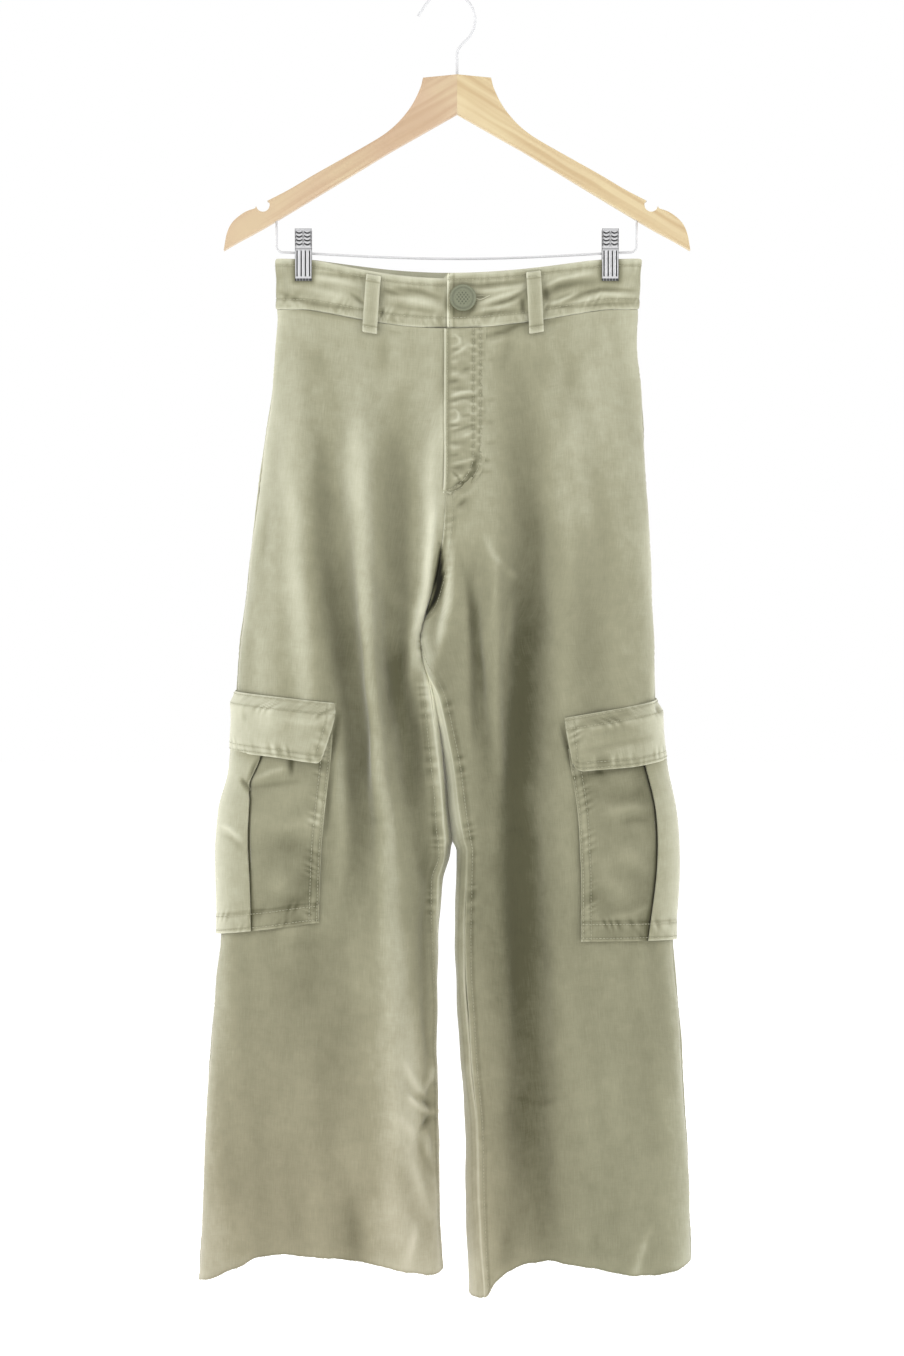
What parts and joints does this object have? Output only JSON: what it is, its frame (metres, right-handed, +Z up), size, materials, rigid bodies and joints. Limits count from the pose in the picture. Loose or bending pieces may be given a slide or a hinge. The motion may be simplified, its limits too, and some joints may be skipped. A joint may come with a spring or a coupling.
{
  "type": "jeans on a clip hanger",
  "caption": "High-rise wide-leg cargo jeans with flap pockets over the side seams and a raw hem, hung by the waistband from a wooden hanger with wire bar and clips.",
  "frame": {"origin": "inside top of the hanger's hook, where the rod carries it", "axes": "+Z up, -Y the front of the jeans, +X the wearer's left"},
  "size_m": [0.4679, 0.1183, 1.2449],
  "materials": {
    "denim": "washed sage stretch denim with a soft twill, lighter along the seams",
    "button": "dark sage matt metal",
    "wood": "clear satin varnish on pale softwood",
    "wire": "bright plated steel wire",
    "clip": "bright plated pressed steel"
  },
  "bodies": {
    "root": {"back_left": "denim", "back_right": "denim", "belt_loop_back_centre": "denim", "belt_loop_back_left": "denim", "belt_loop_back_right": "denim", "belt_loop_front_left": "denim", "belt_loop_front_right": "denim", "cargo_flap_left": "denim", "cargo_flap_right": "denim", "cargo_pocket_left": "denim", "cargo_pocket_right": "denim", "clip_left_back": "clip", "clip_left_front": "clip", "clip_left_spring": "clip", "clip_right_back": "clip", "clip_right_front": "clip", "clip_right_spring": "clip", "fly": "denim", "front_left": "denim", "front_right": "denim", "hanger_arm_left": "wood", "hanger_arm_right": "wood", "hanger_hook": "wire", "trouser_bar": "wire", "waist_button": "button", "waistband": "denim"}
  },
  "joints": []
}
